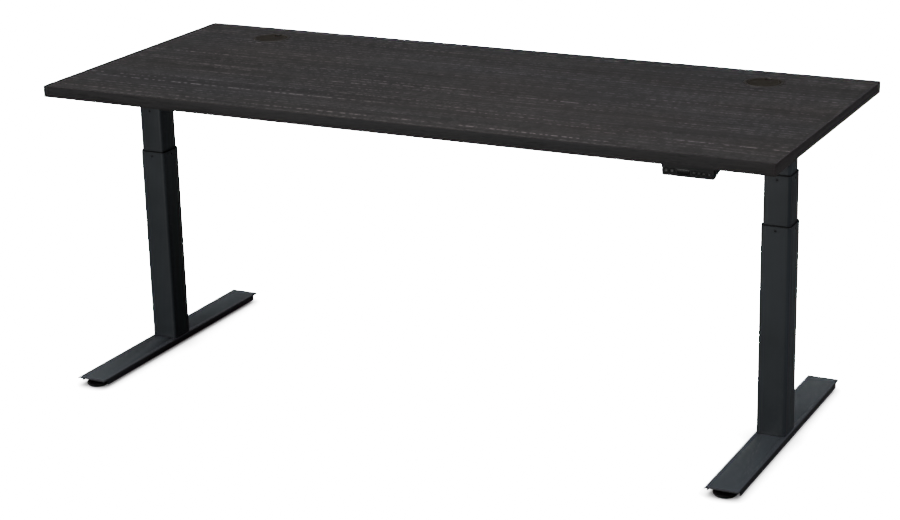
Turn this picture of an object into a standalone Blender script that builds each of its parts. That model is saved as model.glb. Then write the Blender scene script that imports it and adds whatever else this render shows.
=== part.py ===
"""Height adjustable standing desk: laminate top on two motor driven,
three stage telescoping legs with folded plate T feet.

Units are metres, +Z is up, +X runs along the desk to the right as the user
sits, and the user sits on the -Y side.  The origin is on the floor, under the
middle of the desk's overall outline.
"""
import math

import bmesh
import bpy
from mathutils import Matrix, Vector

# ----------------------------------------------------------------- dimensions
GAP = 0.0003                 # running and seating gap between neighbours

TOP_W = 1.8288               # desk top, 72 x 30 x 1 in
TOP_D = 0.7620
TOP_T = 0.0286
TOP_Z = 0.7512               # upper surface of the desk top, as set
TOP_Y = 0.0145               # middle of the desk top
BAND_T = 0.0020              # edge band thickness

COL_X = 0.8200               # leg column axes at +-COL_X
COL_Y = -0.0355              # leg column axes, 50 mm forward of the top's middle

FOOT_L = 0.7200              # foot: folded plate, open underneath
FOOT_W = 0.0780
FOOT_Z = 0.0235              # upper face of the foot
FOOT_H = 0.0155              # plate and side flanges together
FOOT_T = 0.0030
FLANGE_SET = 0.0180          # flanges stop this short of the plate's ends

OUTER = 0.0700               # square tubes, outside, largest at the bottom
MID = 0.0640
INNER = 0.0580
WALL = 0.0015
OUTER_R, MID_R, INNER_R = 0.0080, 0.0070, 0.0060
OUTER_TOP = 0.5220           # top of the outer tube's collar
MID_TOP = 0.6380             # top of the middle tube's collar, desk as set
MID_BOTTOM = 0.1180
INNER_BOTTOM = 0.2070
LIP = 0.0030                 # collar lip thickness
SKIRT = 0.0300               # collar skirt length inside the tube

HOUSING_Z0 = 0.6910          # gearbox housing over the column
TOP_UNDER = TOP_Z - TOP_T    # underside of the desk top
FRAME_TOP = TOP_UNDER - GAP  # highest metal face under the desk top

GROMMET_X = 0.6680           # cable grommets near the rear edge
GROMMET_Y = TOP_Y + 0.2680
GROMMET_HOLE = 0.0435        # hole radius in the desk top
GROMMET_R = 0.0480           # rim radius
GROMMET_BORE = 0.0407        # inside of the liner
CAP_R = 0.0401
REBATE_T = 0.0014            # the rim sits in a rebate this deep

HANDSET_X = 0.7245           # handset under the front edge, right hand end
HANDSET_W = 0.1180
HANDSET_H = 0.0225
HANDSET_D = 0.0640
HANDSET_TAPER = 0.0012
HANDSET_Y = TOP_Y - TOP_D / 2 + 0.0020    # its front face

# ---------------------------------------------------------------- scene set-up
for ob in list(bpy.data.objects):
    bpy.data.objects.remove(ob, do_unlink=True)

parts = bpy.data.collections.new("standing_desk")
bpy.context.scene.collection.children.link(parts)
cutters = bpy.data.collections.new("cutters")
bpy.context.scene.collection.children.link(cutters)


def material(name, colour, roughness, metallic=0.0):
    mat = bpy.data.materials.new(name)
    mat.use_nodes = True
    bsdf = mat.node_tree.nodes["Principled BSDF"]
    bsdf.inputs["Base Color"].default_value = (*colour, 1.0)
    bsdf.inputs["Roughness"].default_value = roughness
    bsdf.inputs["Metallic"].default_value = metallic
    return mat


LAMINATE = material("laminate", (0.047, 0.044, 0.045), 0.55)
BANDING = material("edge_banding", (0.030, 0.029, 0.029), 0.50)
POWDER = material("powder_coat", (0.030, 0.034, 0.037), 0.45, 0.1)
NYLON = material("black_nylon", (0.006, 0.006, 0.006), 0.45)
GLIDE = material("glide_rubber", (0.008, 0.008, 0.008), 0.70)
ZINC = material("zinc_steel", (0.50, 0.50, 0.48), 0.35, 1.0)
SCREW = material("spindle_steel", (0.42, 0.42, 0.42), 0.30, 1.0)
BRONZE = material("nut_brass", (0.55, 0.40, 0.18), 0.35, 1.0)
CASTING = material("gear_casting", (0.10, 0.10, 0.105), 0.45, 0.8)
MOTOR = material("motor_can", (0.05, 0.05, 0.055), 0.35, 0.6)
GROMMET = material("grommet_plastic", (0.022, 0.020, 0.018), 0.45)
CASE = material("handset_case", (0.012, 0.013, 0.013), 0.40)
LENS = material("display_lens", (0.004, 0.004, 0.005), 0.10)
KEY = material("key_rubber", (0.030, 0.030, 0.031), 0.55)


# -------------------------------------------------------------------- helpers
def empty(name, loc):
    ob = bpy.data.objects.new(name, None)
    ob.location = loc
    parts.objects.link(ob)
    return ob


def finish(ob, mat, parent=None, smooth=False):
    """Give the object its material and hang it on its stage's empty."""
    ob.data.materials.clear()
    ob.data.materials.append(mat)
    if ob.type == "MESH":
        if smooth:
            ob.data.shade_smooth()
            ob.data.set_sharp_from_angle(angle=math.radians(35))
        else:
            ob.data.shade_flat()
    if parent is not None:
        ob.location = Vector(ob.location) - Vector(parent.location)
        ob.parent = parent
    return ob


def mesh_object(name, bm, loc, coll=None):
    me = bpy.data.meshes.new(name)
    bm.normal_update()
    bm.to_mesh(me)
    bm.free()
    ob = bpy.data.objects.new(name, me)
    ob.location = loc
    (coll or parts).objects.link(ob)
    return ob


def box(name, x, y, z, coll=None, bevel=0.0):
    """Box from its low and high limits, origin at its middle."""
    mid = [(a + b) / 2 for a, b in (x, y, z)]
    size = [b - a for a, b in (x, y, z)]
    bm = bmesh.new()
    bmesh.ops.create_cube(bm, size=1.0)
    bmesh.ops.scale(bm, vec=size, verts=bm.verts)
    ob = mesh_object(name, bm, mid, coll)
    if bevel:
        m = ob.modifiers.new("edge", "BEVEL")
        m.width = bevel
        m.segments = 1
        m.limit_method = "ANGLE"
    return ob


def cylinder(name, r, x, y, z, axis="Z", segs=24, coll=None):
    """Cylinder centred at x, y with z = (low, high) along the given axis.
    For axis X or Y the pair sits in that coordinate."""
    lim = {"X": x, "Y": y, "Z": z}[axis]
    depth = lim[1] - lim[0]
    c = {"X": x, "Y": y, "Z": z}
    loc = [(sum(v) / 2 if isinstance(v, tuple) else v) for v in (c["X"], c["Y"], c["Z"])]
    bm = bmesh.new()
    bmesh.ops.create_cone(bm, cap_ends=True, segments=segs, radius1=r, radius2=r, depth=depth)
    if axis == "X":
        bmesh.ops.rotate(bm, verts=bm.verts, matrix=Matrix.Rotation(math.pi / 2, 3, "Y"))
    elif axis == "Y":
        bmesh.ops.rotate(bm, verts=bm.verts, matrix=Matrix.Rotation(math.pi / 2, 3, "X"))
    return mesh_object(name, bm, loc, coll)


def boolean(ob, cutter, op="DIFFERENCE"):
    cutter.hide_render = True
    cutter.display_type = "WIRE"
    if cutter.parent is None and ob.parent is not None:
        cutter.location = Vector(cutter.location) - Vector(ob.parent.location)
        cutter.parent = ob.parent
    m = ob.modifiers.new(op.lower(), "BOOLEAN")
    m.operation = op
    m.solver = "EXACT"
    m.object = cutter
    return m


def rounded_square(side, r, segs=4):
    """Corner points of a square with rounded corners, anticlockwise."""
    h = side / 2 - r
    pts = []
    for cx, cy, a0 in ((h, h, 0), (-h, h, 90), (-h, -h, 180), (h, -h, 270)):
        for i in range(segs + 1):
            a = math.radians(a0 + 90 * i / segs)
            pts.append((cx + r * math.cos(a), cy + r * math.sin(a)))
    return pts


def circle(r, segs=24):
    return [(r * math.cos(2 * math.pi * i / segs), r * math.sin(2 * math.pi * i / segs))
            for i in range(segs)]


def outline(name, loops, depth, loc, rot=(0, 0, 0)):
    """Flat outline with holes, extruded evenly about its own plane."""
    cu = bpy.data.curves.new(name, "CURVE")
    cu.dimensions = "2D"
    cu.fill_mode = "BOTH"
    cu.extrude = depth / 2
    for loop in loops:
        sp = cu.splines.new("POLY")
        sp.points.add(len(loop) - 1)
        for p, (u, v) in zip(sp.points, loop):
            p.co = (u, v, 0, 1)
        sp.use_cyclic_u = True
    ob = bpy.data.objects.new(name, cu)
    ob.location = loc
    ob.rotation_euler = rot
    parts.objects.link(ob)
    return ob


def to_mesh(ob):
    """Turn an outline into a welded mesh object that a Boolean can cut."""
    bpy.context.view_layer.update()
    dg = bpy.context.evaluated_depsgraph_get()
    me = bpy.data.meshes.new_from_object(ob.evaluated_get(dg))
    bm = bmesh.new()
    bm.from_mesh(me)
    bmesh.ops.remove_doubles(bm, verts=bm.verts, dist=0.00001)
    bm.to_mesh(me)
    bm.free()
    name, mat = ob.name, ob.matrix_world.copy()
    bpy.data.objects.remove(ob, do_unlink=True)
    new = bpy.data.objects.new(name, me)
    new.matrix_world = mat
    parts.objects.link(new)
    return new


def ring(name, outer, inner, z0, z1, loc_xy):
    """Upright tube between two outlines, from z0 to z1."""
    loops = [outer] + ([inner] if inner else [])
    return to_mesh(outline(name, loops, z1 - z0, (*loc_xy, (z0 + z1) / 2)))


def turned(name, profile, loc, segs=24):
    """Solid of revolution; the profile runs from the axis at the top, down
    the outer side, back to the axis at the bottom."""
    bm = bmesh.new()
    vs = [bm.verts.new((r, 0, z)) for r, z in profile]
    for a, b in zip(vs, vs[1:]):
        bm.edges.new((a, b))
    ob = mesh_object(name, bm, loc)
    m = ob.modifiers.new("turn", "SCREW")
    m.steps = m.render_steps = segs
    m.use_merge_vertices = True
    m.merge_threshold = 0.0001
    m.use_smooth_shade = True
    return ob


def joined(ob, others):
    """Union of touching pieces of one solid."""
    for o in others:
        for c in list(o.users_collection):
            c.objects.unlink(o)
        cutters.objects.link(o)
        boolean(ob, o, "UNION")
    return ob


# ----------------------------------------------------- stages that move as one
lift_stage = empty("lift_stage", (0, 0, 0))
mid_stage = {s: empty(f"mid_stage_{s}", (sx * COL_X, COL_Y, 0))
             for s, sx in (("left", -1), ("right", 1))}


# ------------------------------------------------------------------ one column
def foot(side, cx):
    """Folded plate channel, open underneath, its flanges cut back at both
    ends, with a threaded boss for each glide and four bolt holes."""
    w, h, t, r = FOOT_W / 2, FOOT_H, FOOT_T, 0.0036
    prof = []
    for sx in (1, -1):
        corner = []
        for i in range(5):
            a = math.radians(90 * i / 4)
            corner.append((w - r + r * math.cos(a), -r + r * math.sin(a)))
        side_pts = [(w - t, -h), (w, -h)] + corner
        if sx == 1:
            prof += side_pts
        else:
            prof += [(-u, v) for u, v in reversed(side_pts)]
    ri = 0.001
    prof += [(-(w - t), -t - ri), (-(w - t - ri), -t), (w - t - ri, -t), (w - t, -t - ri)]
    ob = outline(f"foot_{side}", [prof], FOOT_L, (cx, COL_Y, FOOT_Z),
                 (math.pi / 2, 0, 0))
    ob = to_mesh(ob)
    for sy in (-1, 1):
        y = COL_Y + sy * FOOT_L / 2
        lo, hi = sorted((y + sy * 0.01, y - sy * FLANGE_SET))
        cut = box(f"foot_notch_{side}_{sy}", (cx - w - 0.01, cx + w + 0.01), (lo, hi),
                  (FOOT_Z - h - 0.01, FOOT_Z - t - 0.0012), cutters)
        boolean(ob, cut)
        gy = COL_Y + sy * GLIDE_Y
        boss = cylinder(f"foot_boss_{side}_{sy}", 0.0075, cx, gy,
                        (FOOT_Z - 0.0105, FOOT_Z - t + 0.0005), segs=16, coll=cutters)
        boolean(ob, boss, "UNION")
        bore = cylinder(f"foot_bore_{side}_{sy}", 0.0045, cx, gy,
                        (FOOT_Z - 0.03, FOOT_Z - t), segs=16, coll=cutters)
        boolean(ob, bore)
    for dx in (-1, 1):
        for dy in (-1, 1):
            hole = cylinder(f"foot_bolt_hole_{side}_{dx}_{dy}", 0.0040,
                            cx + dx * BOLT_U, COL_Y + dy * BOLT_U,
                            (FOOT_Z - 0.01, FOOT_Z + 0.01), segs=12, coll=cutters)
            boolean(ob, hole)
    return finish(ob, POWDER)


GLIDE_Y = FOOT_L / 2 - 0.030     # glide axes from the column axis, along the foot
BOLT_U = 0.0240                  # half the bolt square under the column


def bolt_plate(side, cx):
    """Four hex head bolts on one stiffening plate, up through the foot."""
    z1 = FOOT_Z - FOOT_T - GAP
    ob = box(f"foot_bolt_plate_{side}", (cx - 0.034, cx + 0.034), (COL_Y - 0.034, COL_Y + 0.034),
             (z1 - 0.003, z1))
    add = []
    for dx in (-1, 1):
        for dy in (-1, 1):
            x, y = cx + dx * BOLT_U, COL_Y + dy * BOLT_U
            add.append(cylinder(f"bolt_head_{side}_{dx}_{dy}", 0.0065, x, y,
                                (z1 - 0.0070, z1 - 0.0020), segs=6))
            add.append(cylinder(f"bolt_shank_{side}_{dx}_{dy}", 0.0030, x, y,
                                (z1 - 0.0025, FOOT_Z + GAP + 0.0045), segs=12))
    return finish(joined(ob, add), ZINC)


def base_plate(side, cx):
    """Plate welded inside the outer tube's foot end; the push tube stands on it."""
    s = OUTER - 2 * WALL - 2 * GAP
    ob = ring(f"column_base_plate_{side}", rounded_square(s, OUTER_R - WALL), None,
              FOOT_Z + GAP, FOOT_Z + GAP + 0.006, (cx, COL_Y))
    for dx in (-1, 1):
        for dy in (-1, 1):
            hole = cylinder(f"plate_hole_{side}_{dx}_{dy}", 0.0034,
                            cx + dx * BOLT_U, COL_Y + dy * BOLT_U,
                            (FOOT_Z - 0.01, FOOT_Z + 0.02), segs=12, coll=cutters)
            boolean(ob, hole)
    return finish(ob, ZINC)


def square_tube(name, side_len, r, z0, z1, xy, mat, parent=None):
    ob = ring(name, rounded_square(side_len, r),
              rounded_square(side_len - 2 * WALL, r - WALL), z0, z1, xy)
    return finish(ob, mat, parent, smooth=True)


def collar(name, tube, inner_tube, r, r_in, z_top, xy, parent=None):
    """Nylon collar: a lip on the tube's end and a skirt that guides the
    next tube inside it."""
    bore = inner_tube + 2 * GAP
    ob = ring(name, rounded_square(tube, r), rounded_square(bore, r_in),
              z_top - LIP, z_top, xy)
    skirt = ring(name + "_skirt", rounded_square(tube - 2 * WALL - 2 * GAP, r - WALL - GAP),
                 rounded_square(bore, r_in), z_top - LIP - SKIRT, z_top - LIP / 2, xy)
    return finish(joined(ob, [skirt]), NYLON, parent)


def end_guide(name, tube, around, r, hole_r, z_bottom, xy, lip, parent):
    """Nylon shoe under a tube's lower end, running inside the next tube."""
    out = around - 2 * WALL - 2 * GAP
    ob = ring(name, rounded_square(out, r), circle(hole_r), z_bottom - GAP - lip,
              z_bottom - GAP, xy)
    skirt = ring(name + "_skirt", rounded_square(out, r),
                 rounded_square(tube + 2 * GAP, r + 0.0008), z_bottom - GAP - lip / 2,
                 z_bottom + 0.028, xy)
    return finish(joined(ob, [skirt]), NYLON, parent)


PUSH_R, PUSH_RI = 0.0200, 0.0170
PUSH_TOP = 0.3970
BASE_NUT_TOP = 0.4220
HOLLOW_R, HOLLOW_RI = 0.0130, 0.0090
HOLLOW_Z = (0.1120, 0.4815)
CARRIER_R, CARRIER_RI = 0.0240, 0.0215
CARRIER_TOP = 0.4817
CARRIER_NUT_TOP = 0.5020
SPINDLE_R = 0.0070
SPINDLE_Z = (0.1970, 0.6900)


def drive(side, cx):
    """The two stage lead screw inside a column."""
    xy = (cx, COL_Y)
    mid = mid_stage[side]
    finish(ring(f"push_tube_{side}", circle(PUSH_R), circle(PUSH_RI),
                FOOT_Z + GAP + 0.006 + GAP, PUSH_TOP, xy), ZINC, smooth=True)
    finish(ring(f"base_nut_{side}", circle(PUSH_R), circle(HOLLOW_R + 0.00045),
                PUSH_TOP + GAP, BASE_NUT_TOP, xy), BRONZE, smooth=True)
    finish(ring(f"carrier_tube_{side}", circle(CARRIER_R), circle(CARRIER_RI),
                MID_BOTTOM, CARRIER_TOP, xy), ZINC, mid, smooth=True)
    finish(ring(f"carrier_nut_{side}", circle(CARRIER_R), circle(SPINDLE_R + 0.0004),
                CARRIER_TOP + GAP, CARRIER_NUT_TOP, xy), BRONZE, mid, smooth=True)
    finish(ring(f"hollow_spindle_{side}", circle(HOLLOW_R), circle(HOLLOW_RI),
                *HOLLOW_Z, xy), SCREW, mid, smooth=True)
    finish(cylinder(f"drive_spindle_{side}", SPINDLE_R, cx, COL_Y, SPINDLE_Z),
           SCREW, lift_stage, smooth=True)


def gearbox(side, sx, cx):
    """Housing over the inner tube, with a taller bell that takes the motor."""
    lo, hi = sorted((cx + sx * 0.036, cx - sx * 0.0745))
    ob = box(f"gearbox_{side}", (lo, hi), (COL_Y - 0.038, COL_Y + 0.038),
             (HOUSING_Z0, FRAME_TOP - 0.0038), bevel=0.0)
    lo, hi = sorted((cx - sx * 0.0520, cx - sx * 0.0750))
    bell = box(f"gearbox_bell_{side}", (lo, hi), (COL_Y - 0.030, COL_Y + 0.030),
               (MOTOR_Z - 0.0255, FRAME_TOP - 0.0042))
    finish(joined(ob, [bell]), CASTING, lift_stage)
    x0 = cx - sx * 0.0753
    x1 = x0 - sx * 0.1150
    lo, hi = sorted((x0, x1))
    can = cylinder(f"motor_{side}", 0.0230, (lo, hi), COL_Y, MOTOR_Z, "X", 32)
    lo2, hi2 = sorted((x1 + sx * 0.001, x1 - sx * 0.010))
    cap = cylinder(f"motor_end_{side}", 0.0110, (lo2, hi2), COL_Y, MOTOR_Z, "X", 24)
    finish(joined(can, [cap]), MOTOR, lift_stage, smooth=True)


MOTOR_Z = 0.6955
BRACKET_W, BRACKET_L, BRACKET_T, BRACKET_H = 0.0940, 0.5000, 0.0030, 0.0220


def bracket(side, sx, cx):
    """Pressed channel under the desk top, open below, notched for the
    gearbox and slotted for the two rails, with screw slots in its web."""
    w, t, h = BRACKET_W / 2, BRACKET_T, BRACKET_H
    prof = [(w, -h), (w, -0.0018), (w - 0.0018, 0), (-w + 0.0018, 0), (-w, -0.0018), (-w, -h),
            (-w + t, -h), (-w + t, -t), (w - t, -t), (w - t, -h)]
    ob = to_mesh(outline(f"side_bracket_{side}", [prof], BRACKET_L,
                         (cx, COL_Y, FRAME_TOP), (math.pi / 2, 0, 0)))
    inner = cx - sx * w
    lo, hi = sorted((inner - sx * (t + 0.004), inner + sx * (t + 0.0035)))
    boolean(ob, box(f"gear_notch_{side}", (min(inner - 0.01, inner + 0.01), max(inner - 0.01, inner + 0.01)),
                    (COL_Y - 0.0400, COL_Y + 0.0400),
                    (FRAME_TOP - h - 0.01, FRAME_TOP - t - 0.0004), cutters))
    for sy in (-1, 1):
        y = COL_Y + sy * (BRACKET_L / 2)
        lo, hi = sorted((y + sy * 0.01, y - sy * 0.045))
        # the flanges taper away towards both ends of the arm
        boolean(ob, wedge(f"arm_taper_{side}_{sy}", cx, y, sy, w + 0.01))
        for dy in (0.160, 0.225):
            boolean(ob, cylinder(f"arm_hole_{side}_{sy}_{dy}", 0.0030, cx, COL_Y + sy * dy,
                                 (FRAME_TOP - 0.01, FRAME_TOP + 0.01), segs=12, coll=cutters))
    return finish(ob, POWDER, lift_stage)


def wedge(name, cx, y, sy, half):
    """Tilted block that takes the flanges' lower corners off at the arm's end."""
    run, drop = 0.120, BRACKET_H - 0.007
    ang = math.atan2(drop, run)
    ob = box(name, (cx - half, cx + half), (y - 0.5 * run - 0.1, y + 0.5 * run + 0.1),
             (0, 0.04), cutters)
    ob.location = (cx, y - sy * run / 2, FRAME_TOP - 0.007 - drop / 2 - 0.02 / math.cos(ang))
    ob.rotation_euler = (sy * ang, 0, 0)
    return ob


for s, sx in (("left", -1), ("right", 1)):
    cx = sx * COL_X
    xy = (cx, COL_Y)
    foot(s, cx)
    bolt_plate(s, cx)
    base_plate(s, cx)
    square_tube(f"outer_tube_{s}", OUTER, OUTER_R, FOOT_Z + GAP, OUTER_TOP - LIP - GAP, xy, POWDER)
    collar(f"outer_collar_{s}", OUTER, MID, OUTER_R, MID_R, OUTER_TOP, xy)
    square_tube(f"mid_tube_{s}", MID, MID_R, MID_BOTTOM, MID_TOP - LIP - GAP, xy, POWDER, mid_stage[s])
    collar(f"mid_collar_{s}", MID, INNER, MID_R, INNER_R, MID_TOP, xy, mid_stage[s])
    end_guide(f"mid_end_guide_{s}", MID, OUTER, OUTER_R - WALL - GAP, PUSH_R + 0.0006,
              MID_BOTTOM, xy, 0.0057, mid_stage[s])
    square_tube(f"inner_tube_{s}", INNER, INNER_R, INNER_BOTTOM, HOUSING_Z0 - GAP, xy, POWDER, lift_stage)
    end_guide(f"inner_end_guide_{s}", INNER, MID, MID_R - WALL - GAP, CARRIER_R + 0.0006,
              INNER_BOTTOM, xy, 0.0040, lift_stage)
    drive(s, cx)
    gearbox(s, sx, cx)
    bracket(s, sx, cx)
    # levelling glides: a threaded stud in a shallow rubber bowl
    for e, sy in (("front", -1), ("rear", 1)):
        turned(f"glide_{e}_{s}",
               [(0, 0.0200), (0.0036, 0.0200), (0.0040, 0.0195), (0.0040, 0.0100),
                (0.0220, 0.0100), (0.0276, 0.0084), (0.0280, 0.0066), (0.0256, 0.0026),
                (0.0215, 0.0), (0, 0.0)],
               (cx, COL_Y + sy * GLIDE_Y, 0), 32)
        finish(bpy.data.objects[f"glide_{e}_{s}"], GLIDE)

# ------------------------------------------------------- rails between the legs
RAIL_Y, RAIL_S = 0.0640, 0.0250
for e, sy in (("front", -1), ("rear", 1)):
    half = COL_X - BRACKET_W / 2 - GAP
    z1 = FRAME_TOP - 0.0005
    y = COL_Y + sy * RAIL_Y
    prof = rounded_square(RAIL_S, 0.003, 2)
    bore = rounded_square(RAIL_S - 0.003, 0.0015, 2)
    rail = to_mesh(outline(f"cross_rail_{e}", [prof, bore], 2 * half,
                           (0, y, z1 - RAIL_S / 2), (math.pi / 2, 0, math.pi / 2)))
    finish(rail, POWDER, lift_stage)

# -------------------------------------------------------------------- desk top
y0, y1 = TOP_Y - TOP_D / 2, TOP_Y + TOP_D / 2
ix, iy = TOP_W / 2 - BAND_T - GAP / 3, TOP_D / 2 - BAND_T - GAP / 3
desk = box("desktop", (-ix, ix), (TOP_Y - iy, TOP_Y + iy), (TOP_UNDER, TOP_Z))
for s, sx in (("left", -1), ("right", 1)):
    boolean(desk, cylinder(f"grommet_hole_{s}", GROMMET_HOLE, sx * GROMMET_X, GROMMET_Y,
                           (TOP_UNDER - 0.01, TOP_Z + 0.01), segs=32, coll=cutters))
    boolean(desk, cylinder(f"grommet_rebate_{s}", GROMMET_R + 0.0004, sx * GROMMET_X, GROMMET_Y,
                           (TOP_Z - REBATE_T, TOP_Z + 0.01), segs=32, coll=cutters))
finish(desk, LAMINATE, lift_stage)

rect_out = [(TOP_W / 2, TOP_D / 2), (-TOP_W / 2, TOP_D / 2),
            (-TOP_W / 2, -TOP_D / 2), (TOP_W / 2, -TOP_D / 2)]
rect_in = [(TOP_W / 2 - BAND_T, TOP_D / 2 - BAND_T), (-TOP_W / 2 + BAND_T, TOP_D / 2 - BAND_T),
           (-TOP_W / 2 + BAND_T, -TOP_D / 2 + BAND_T), (TOP_W / 2 - BAND_T, -TOP_D / 2 + BAND_T)]
finish(ring("edge_band", rect_out, rect_in, TOP_UNDER, TOP_Z, (0, TOP_Y)), BANDING, lift_stage)

# -------------------------------------------------------------------- grommets
for s, sx in (("left", -1), ("right", 1)):
    gxy = (sx * GROMMET_X, GROMMET_Y)
    rim = ring(f"grommet_liner_{s}", circle(GROMMET_R, 32), circle(GROMMET_BORE, 32),
               TOP_Z - REBATE_T + GAP, TOP_Z + 0.0010, gxy)
    sleeve = ring(f"grommet_sleeve_{s}", circle(GROMMET_HOLE - 0.0006, 32), circle(GROMMET_BORE, 32),
                  TOP_Z - 0.0210, TOP_Z, gxy)
    shelf = ring(f"grommet_shelf_{s}", circle(GROMMET_BORE + 0.0010, 32), circle(0.0380, 32),
                 TOP_Z - 0.0050, TOP_Z - 0.0032, gxy)
    finish(joined(rim, [sleeve, shelf]), GROMMET, lift_stage)
    # the cap drops into the liner, rests on its shelf and turns; its notch
    # lets the cables out at the back
    cap = ring(f"grommet_cap_{s}", circle(CAP_R, 32), None,
               TOP_Z - 0.0032 + GAP, TOP_Z + 0.0008, gxy)
    notch = box(f"cap_notch_{s}", (gxy[0] - 0.0095, gxy[0] + 0.0095),
                (GROMMET_Y + 0.0260, GROMMET_Y + 0.05), (TOP_Z - 0.01, TOP_Z + 0.01), cutters)
    boolean(cap, notch)
    finish(cap, GROMMET, lift_stage)

# -------------------------------------------------------------- control system
CB_X, CB_Y = 0.3000, COL_Y + 0.0
cb = box("control_box", (CB_X - 0.1300, CB_X + 0.1300), (CB_Y - 0.0450, CB_Y + 0.0450),
         (TOP_UNDER - GAP - 0.0320, TOP_UNDER - GAP), bevel=0.003)
finish(cb, CASE, lift_stage)

hw, hh, tp = HANDSET_W / 2, HANDSET_H, HANDSET_TAPER
hz = TOP_UNDER - GAP
case_prof = [(hw, 0), (-hw, 0), (-hw + tp, -hh + 0.0026), (-hw + tp + 0.0024, -hh),
             (hw - tp - 0.0024, -hh), (hw - tp, -hh + 0.0026)]
case = to_mesh(outline("handset_case", [case_prof], HANDSET_D,
                       (HANDSET_X, HANDSET_Y + HANDSET_D / 2, hz), (math.pi / 2, 0, 0)))
# the underside rises towards the back, so only the front stands its full height
slope = [(-0.0275, -0.0235), (0.0180, -0.0105), (0.0420, -0.0105), (0.0420, -0.0400), (-0.0275, -0.0400)]
under = to_mesh(outline("case_slope", [slope], HANDSET_W + 0.02,
                        (HANDSET_X, HANDSET_Y + HANDSET_D / 2, hz), (math.pi / 2, 0, math.pi / 2)))
parts.objects.unlink(under)
cutters.objects.link(under)
boolean(case, under)
key_z = hz - 0.0112
KEYS = [("key_up", -0.0470, 0.0052), ("key_down", -0.0340, 0.0052),
        ("key_preset_1", 0.0140, 0.0040), ("key_preset_2", 0.0250, 0.0040),
        ("key_preset_3", 0.0360, 0.0040), ("key_memory", 0.0480, 0.0040)]
for name, dx, r in KEYS:
    boolean(case, cylinder(name + "_well", r + 0.0004, HANDSET_X + dx,
                           (HANDSET_Y - 0.01, HANDSET_Y + 0.0060), key_z, "Y", 20, cutters))
lens_x = (HANDSET_X - 0.0240, HANDSET_X + 0.0050)
boolean(case, box("lens_recess", (lens_x[0] - GAP, lens_x[1] + GAP),
                  (HANDSET_Y - 0.01, HANDSET_Y + 0.0020), (key_z - 0.0058 - GAP, key_z + 0.0058 + GAP),
                  cutters))
finish(case, CASE, lift_stage)
finish(box("display_lens", lens_x, (HANDSET_Y + 0.0002, HANDSET_Y + 0.0017),
           (key_z - 0.0058, key_z + 0.0058)), LENS, lift_stage)
for name, dx, r in KEYS:
    finish(cylinder(name, r, HANDSET_X + dx, (HANDSET_Y - 0.0012, HANDSET_Y + 0.0042), key_z,
                    "Y", 20), KEY, lift_stage, smooth=True)
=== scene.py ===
import math

import bmesh
import bpy
from mathutils import Matrix, Vector


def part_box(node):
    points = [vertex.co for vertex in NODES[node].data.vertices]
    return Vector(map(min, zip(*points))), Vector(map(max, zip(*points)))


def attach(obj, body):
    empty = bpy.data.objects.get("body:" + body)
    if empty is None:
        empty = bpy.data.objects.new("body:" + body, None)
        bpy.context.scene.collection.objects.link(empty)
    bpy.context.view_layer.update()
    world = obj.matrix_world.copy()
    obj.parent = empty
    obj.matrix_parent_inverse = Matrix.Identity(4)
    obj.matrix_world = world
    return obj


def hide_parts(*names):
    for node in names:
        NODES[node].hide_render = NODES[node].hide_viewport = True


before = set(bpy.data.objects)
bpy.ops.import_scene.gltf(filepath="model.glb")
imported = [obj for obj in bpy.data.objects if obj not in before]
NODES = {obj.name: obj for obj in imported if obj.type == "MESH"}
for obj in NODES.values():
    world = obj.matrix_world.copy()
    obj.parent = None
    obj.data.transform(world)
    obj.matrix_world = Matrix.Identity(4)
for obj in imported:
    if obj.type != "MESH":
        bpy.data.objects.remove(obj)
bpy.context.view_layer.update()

# ----------------------------------------------------------------- numbers
TOP_W, TOP_D, TOP_T, TOP_Z, TOP_Y = 1.8288, 0.7620, 0.0286, 0.7512, 0.0145
TOP_UNDER = TOP_Z - TOP_T
COL_X, COL_Y = 0.8200, -0.0355
FOOT_L, FOOT_W, FOOT_Z, FOOT_H, FOOT_T = 0.7200, 0.0780, 0.0235, 0.0155, 0.0030
OUTER, MID, INNER, WALL = 0.0700, 0.0640, 0.0580, 0.0015
OUTER_R, MID_R, INNER_R = 0.0080, 0.0070, 0.0060
GAP = 0.0003
SIDES = (("left", -1), ("right", 1))


def srgb(r, g, b):
    """Linear colour from 0-255 display values."""
    def f(c):
        c /= 255
        return c / 12.92 if c <= 0.04045 else ((c + 0.055) / 1.055) ** 2.4
    return (f(r), f(g), f(b), 1.0)


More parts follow.
